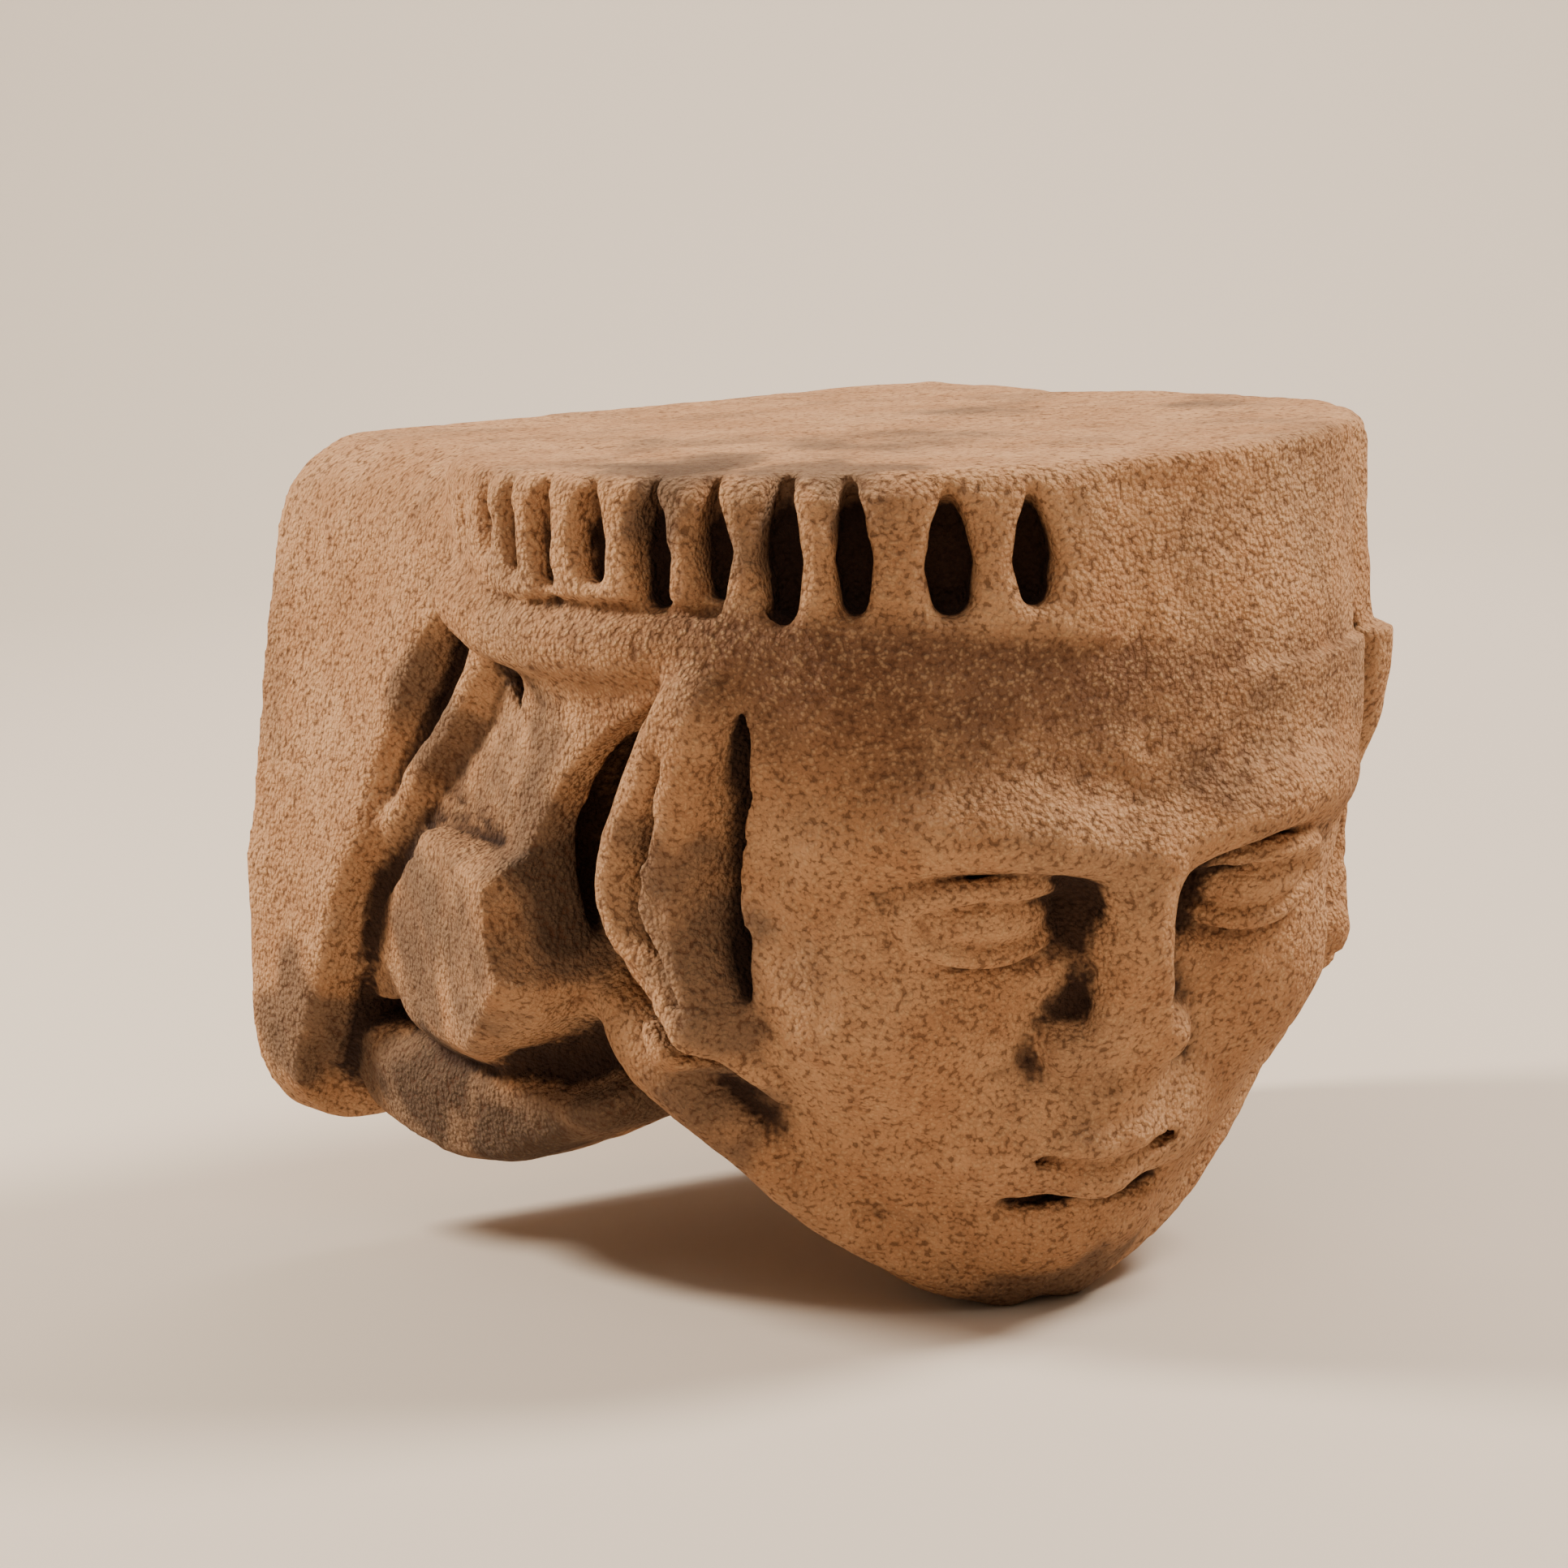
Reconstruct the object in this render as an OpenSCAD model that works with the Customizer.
// Stone corbel: a rough tail block that was built into a wall, carved at its end
// as a head in a fluted, flat-topped round cap with a hem and a chin band.
// Frame: the wall plane is y = 0, the head looks along -y, up is +z, and the
// origin is the middle of the wall face. All lengths are in millimetres.

/* [Overall] */
// Length from the wall to the front of the cap
corbel_l = 250; // [200:1:320]
// Height from the flat top to the underside of the chin
corbel_h = 210; // [190:1:256]

/* [Tail block] */
// Width of the tail along its top
tail_w = 216; // [190:1:260]
// Height of the tail at the wall
tail_h = 178; // [150:1:186]
// Extra width on each side at the foot of the tail
tail_flare = 19; // [0:1:24]
// Radius of the worn long edges
tail_edge_r = 22; // [12:1:30]
// How much of its size the tail keeps on the way to its front
tail_taper = 0.93; // [0.88:0.01:1]

/* [Cap] */
// Radius of the round cap
cap_r = 112; // [92:1:134]
// Radius of the worn rim round the flat top
rim_r = 9; // [5:1:12]
// Height of the fluted band below the top
band_h = 33; // [28:1:40]
// How far the fluted band stands over the brow
band_out = 4; // [2:0.5:6]
// Height of the rolled hem below the fluted band
hem_h = 17; // [12:1:22]
// How far the hem stands out over the band
hem_out = 2; // [0:0.5:4]

/* [Flutes] */
// Number of flutes left on the near side
near_flutes = 10; // [4:1:10]
// Number of flutes on the far side
far_flutes = 5; // [0:1:6]
// Angle between two flutes, in degrees
flute_pitch = 8.5; // [8:0.5:11]
// Angle from the middle of the face to the first flute, in degrees
first_flute = 15; // [12:1:20]
// Width of a flute at its widest
flute_w = 10.5; // [6:0.5:12]
// Depth of a flute behind the band's surface
flute_deep = 11; // [6:0.5:14]

/* [Head] */
// Width of the head at the cheekbones
head_w = 172; // [144:1:200]
// Slope of the face away from upright, in degrees
face_tilt = 24; // [18:1:30]
// Width of the chin
chin_w = 58; // [46:1:70]
// Thickness of the chin band
chin_band_t = 13; // [9:1:18]
// Width of an ear's rim
ear_rim = 9; // [6:0.5:12]

/* [Hair] */
// How far the knob of the swept-back hair stands out from the head
knob_out = 27; // [18:1:30]
// Thickness of the lower roll
roll_t = 44; // [36:1:50]

/* [Wear] */
// Depth of the broken front of the cap
break_deep = 4; // [2:0.5:8]

/* [Hidden] */
STONE = [0.72, 0.57, 0.41];
top_z = tail_h / 2;
// the cap's middle, and the band with its hem
cap_y = cap_r - corbel_l;
brim_h = band_h + hem_h;
last_flute = first_flute + 9 * flute_pitch;
// where the tail's slanting front meets the top and the foot, out from the wall
tail_top_l = 115;
tail_foot_l = 18;
neck_r = 26;
// the head: half its width, and its front under the cap, out from the cap's middle
side_x = head_w / 2;
face_front = cap_r - 6;
// the front of the cap that has lost its flutes, in degrees from the middle of the face
break_from = -8;
break_to = 51;
// the face, on the proportions of the drawing manuals, down from the brow
brow_down = corbel_h * 0.43;
face_h = corbel_h - brow_down;
nose_down = face_h / 2;
mouth_down = nose_down + (face_h - nose_down) / 3;
eye_down = face_h * 0.14;
eye_w = head_w / 5;
// where the chin's front lies, from the middle of the cap
chin_y = face_h * sin(face_tilt) - face_front;

// The side of the head is carved along points [back, t, out]: how far they lie
// behind the cap's middle, their share of the way from the hem to the chin, and how
// far out they stand from the side of the head. A fourth number is a radius.
LOCK = [[-44, 0.03, 12], [14, 0.04, 12], [36, 0.1, 14], [-13, 0.24, 14]];
KNOB = [
    [44, 0.31, 0.88], [17, 0.38, 1], [24, 0.48, 1], [50, 0.57, 0.9], [97, 0.42, 0.85],
    [104, 0.52, 0.85], [72, 0.62, 0.8], [30, 0.6, 0.75], [-4, 0.5, 0.6], [-8, 0.4, 0.55]
];
STRIP = [[34, 0.02, 5, 9], [58, 0.14, 7, 9], [84, 0.26, 10, 9], [112, 0.4, 12, 9]];
ROLL = [[112, 0.64, 9, 0.43], [92, 0.67, 8, 0.5], [58, 0.675, 6, 0.52], [26, 0.64, 3, 0.47], [-4, 0.6, -2, 0.32]];
EAR = [
    [-62, 0, 2, 0.9], [-46, 0.13, 5, 0.85], [-30, 0.26, 8, 0.85], [-25, 0.33, 8, 0.85],
    [-38, 0.42, 3, 0.8], [-46, 0.5, -5, 0.7], [-46, 0.6, -15, 0.5]
];
EAR_FOLD = [[-60, 0.1, 6, 0.5], [-47, 0.24, 6, 0.5], [-44, 0.34, 4, 0.5], [-50, 0.45, -3, 0.4]];
BEHIND_EAR = [[-50, 0.02, 9, 3], [-30, 0.14, 11, 8], [-8, 0.3, 11, 9], [-12, 0.42, 9, 6], [-46, 0.56, 1, 3]];
BEFORE_EAR = [[-78, 0.01, 6, 3], [-74, 0.14, 7, 4], [-66, 0.3, 3, 5], [-64, 0.42, -2, 3]];
UNDER_KNOB = [[18, 0.59, 20, 4], [0, 0.57, 18, 9], [-16, 0.56, 14, 8]];
SLIT = [[114, 0.58, 22, 2], [119, 0.68, 20, 3], [119, 0.77, 16, 4]];
CHIN_BAND = [[10, 0.42, 2, 0.6], [-20, 0.55, -4, 0.8], [-36, 0.66, -14, 0.8]];

// depth below the top for a share t of the way from the hem to the chin
function down(t) = -(brim_h + t * (corbel_h - brim_h));

// a point on the near side of the head, given like those above
function side(back, t, out) = [-side_x - out, back, down(t)];

// points on the near side with their radii times k, for a rope
function along(p, k = 1) = [for (q = p) concat(side(q[0], q[1], q[2]), q[3] * k)];

// an egg with three half sizes
module egg(p, s, fn = 16)
    translate(p)
        scale(s)
            sphere(r = 1, $fn = fn);

// a rounded rope through points [x, y, z, radius]
module rope(p, fn = 12)
    for (i = [0 : len(p) - 2])
        hull()
            for (q = [p[i], p[i + 1]])
                egg([q[0], q[1], q[2]], [1, 1, 1] * q[3], fn);

// a faceted block whose corners stand out from the side of the head
module facets(p, corner_r = 5, root = 22)
    hull()
        for (q = p, out = [q[2] - corner_r, -root])
            egg(side(q[0], q[1], out), [1, 1, 1] * corner_r, 8);

// the same on both sides of the head
module both_sides() {
    children();
    mirror([1, 0, 0]) children();
}

// the tail: a block with worn long edges, wider at its foot and slanting in front
module tail_block() {
    half = tail_w / 2;
    foot = half + tail_flare;
    waist = half + tail_flare * 0.85;
    waist_h = tail_h * 0.55;
    outline = [[-half, 0], [half, 0], [waist, -waist_h], [foot, -tail_h], [-foot, -tail_h], [-waist, -waist_h]];
    slant = [[0, 0], [0, -tail_h], [-tail_foot_l, -tail_h], [-tail_top_l, 0]];
    intersection() {
        rotate([90, 0, 0])
            linear_extrude(height = tail_top_l, scale = tail_taper)
                offset(r = tail_edge_r, $fn = 28)
                    offset(delta = -tail_edge_r)
                        polygon(outline);
        rotate([90, 0, 90])
            linear_extrude(height = 2 * tail_w, center = true)
                polygon(slant);
    }
}

// the neck: the core between the tail and the head, behind the hair
module neck() {
    half = side_x - neck_r;
    foot = -tail_h + neck_r + 10;
    hull()
        for (s = [-1, 1], z = [-brim_h, foot]) {
            egg([s * half, -neck_r, z], [1, 1, 1] * neck_r);
            egg([s * half * 0.9, cap_y * 0.9, z * 0.9], [1, 1, 1] * neck_r);
        }
}

// the cap: a fluted drum with a worn rim, which stands over the brow
module cap() {
    rim = [for (a = [0 : 15 : 90]) [cap_r - rim_r + rim_r * sin(a), -rim_r + rim_r * cos(a)]];
    brow = cap_r - band_out;
    rotate_extrude($fn = 72)
        polygon(concat([[0, 0]], rim, [[cap_r, -band_h], [brow, -band_h - 1], [brow, -brim_h], [0, -brim_h]]));
}

// the rolled hem over the hair, from beside the brow to the tail
module hem() {
    r = hem_h / 2;
    // it swells out of the brow over this many degrees
    from = 32;
    swell = 24;
    to = 100;
    sunk = band_out + 2;
    rope([
        for (a = [from : (to - from) / 6 : to + 1])
            concat(on_cap(-a, -band_h - r, r - hem_out + sunk * max(0, 1 - (a - from) / swell)), r)
    ], 14);
}

// a point round the cap: angle a from the front, height z, depth d inside its surface
function on_cap(a, z, d = 0) = [sin(a) * (cap_r - d), -cos(a) * (cap_r - d), z];

// one flute: a hollow with a pointed top and a round foot
module flute(a, share = 1) {
    w = flute_w / 2 * share;
    tip = 1;
    rotate([0, 0, a])
        translate([0, -cap_r, 0])
            rotate([90, 0, 0])
                hull() {
                    translate([0, w + 2 - band_h, -flute_deep * share])
                        cylinder(h = 2 * flute_deep, r = w, $fn = 10);
                    translate([0, -rim_r / 2, -2 * tip])
                        cylinder(h = flute_deep, r = tip, $fn = 6);
                }
}

// the flutes: shallower towards the tail, and lost from the front
module flutes() {
    wear = 0.035;
    for (i = [0 : near_flutes - 1])
        flute(-first_flute - i * flute_pitch, 1 - wear * i);
    for (i = [0 : 1 : far_flutes - 1])
        flute(last_flute - i * flute_pitch, 0.8);
}

// the front of the cap, worn back to the brow
module broken_front() {
    worn = cap_r - break_deep;
    clear = cap_r + hem_out + 1;
    rotate([0, 0, break_from - 90])
        rotate_extrude(angle = break_to - break_from, $fn = 72)
            polygon([[worn, -brim_h - 1], [clear, -brim_h - 1], [clear, -rim_r / 2], [worn, -2 * rim_r]]);
}

// the bare head, leaning forward over its chin
module head_mass() {
    chin = chin_w / 2;
    cheek_x = side_x * 0.3;
    hull() {
        egg([0, 0, down(0.04)], [side_x + 14, face_front, 34], 30);
        egg([0, 0, down(0.3)], [side_x + 8, face_front - 8, 32], 26);
        for (s = [-1, 1]) {
            egg([s * cheek_x, -30, down(0.48)], [side_x * 0.66, face_front * 0.54, 32], 18);
            egg([s * cheek_x * 0.9, -34, down(0.68)], [side_x * 0.42, face_front * 0.36, 24], 18);
        }
        egg([0, chin_y + chin, chin * 0.9 - corbel_h], [chin, chin, chin * 0.9], 20);
    }
}

// moves its children to the face: origin at the brow, -y out of the face, z along it
module on_face()
    translate([0, -face_front, -brow_down])
        rotate([face_tilt, 0, 0])
            children();

// the eye sockets
module sockets()
    on_face()
        both_sides()
            egg([eye_w, 0, -eye_down], [eye_w * 0.62, 15, eye_down * 0.85], 18);

// the parting of the lips, open to the front
module mouth_line() {
    half = eye_w * 0.6;
    r = 1.5;
    on_face()
        for (s = [-1, 1])
            hull()
                for (x = [0, s * half], y = [-20, 3 + 4 * abs(x) / half])
                    egg([x, y, -mouth_down], [1, 1, 1] * r, 6);
}

// lidded eyes, brow ridges, the stump of the nose and the lips
module face_relief()
    on_face() {
        both_sides() {
            rope([[3, 13, -1, 11], [eye_w, 16, 1, 11], [eye_w * 1.6, 33, -3, 10]]);
            egg([eye_w, 13, -eye_down], [eye_w * 0.5, 11, eye_down * 0.6], 18);
        }
        hull() {
            egg([0, 4, -2], [6, 7, 6], 12);
            egg([0, 3, 9 - nose_down], [12, 12, 8], 12);
        }
        egg([0, 7, 5 - mouth_down], [eye_w * 0.62, 11, 5], 16);
        egg([0, 8, -mouth_down - 5], [eye_w * 0.54, 11, 5.5], 16);
    }

// the ear: an S-shaped rim and an inner fold
module ear() {
    rope(along(EAR, ear_rim));
    rope(along(EAR_FOLD, ear_rim));
}

// the deep cuts behind and in front of the ear
module ear_cuts() {
    rope(along(BEHIND_EAR));
    rope(along(BEFORE_EAR));
}

// the band that comes from behind the ear and passes under the chin
module chin_band() {
    t = chin_band_t;
    under = [
        [-side_x * 0.5, chin_y + t, down(0.82), t * 0.7],
        [-side_x * 0.24, chin_y + t * 1.2, down(0.93), t * 0.6],
        [0, chin_y + t * 1.4, t * 0.6 - corbel_h, t * 0.6]
    ];
    rope(concat(along(CHIN_BAND, t), under));
}

// the hair: a lock swept back to a faceted knob, a strip behind it and a lower roll
module hair() {
    facets(concat(LOCK, [for (q = KNOB) [q[0], q[1], q[2] * knob_out]]));
    rope(along(STRIP));
    rope(along(ROLL, roll_t));
}

// the hollow under the knob and the slit between the lower roll and the tail
module hair_cuts() {
    rope(along(UNDER_KNOB));
    rope(along(SLIT));
}

// everything that the cuts beside the face go into
module blocked_out() {
    tail_block();
    neck();
    translate([0, cap_y, 0]) {
        cap();
        difference() {
            head_mass();
            sockets();
        }
        difference() {
            face_relief();
            mouth_line();
        }
        both_sides() {
            hair();
            hem();
        }
    }
}

module corbel() {
    big = 2 * (corbel_l + corbel_h);
    color(STONE)
        translate([0, 0, top_z])
            difference() {
                union() {
                    difference() {
                        blocked_out();
                        translate([0, cap_y, 0]) {
                            flutes();
                            broken_front();
                            both_sides() {
                                hair_cuts();
                                ear_cuts();
                            }
                        }
                    }
                    translate([0, cap_y, 0])
                        both_sides() {
                            ear();
                            chin_band();
                        }
                }
                // the wall plane and the flat top
                translate([-big / 2, 0, -big])
                    cube([big, big, 2 * big]);
                translate([-big / 2, -big, 0])
                    cube([big, 2 * big, big]);
            }
}

corbel();
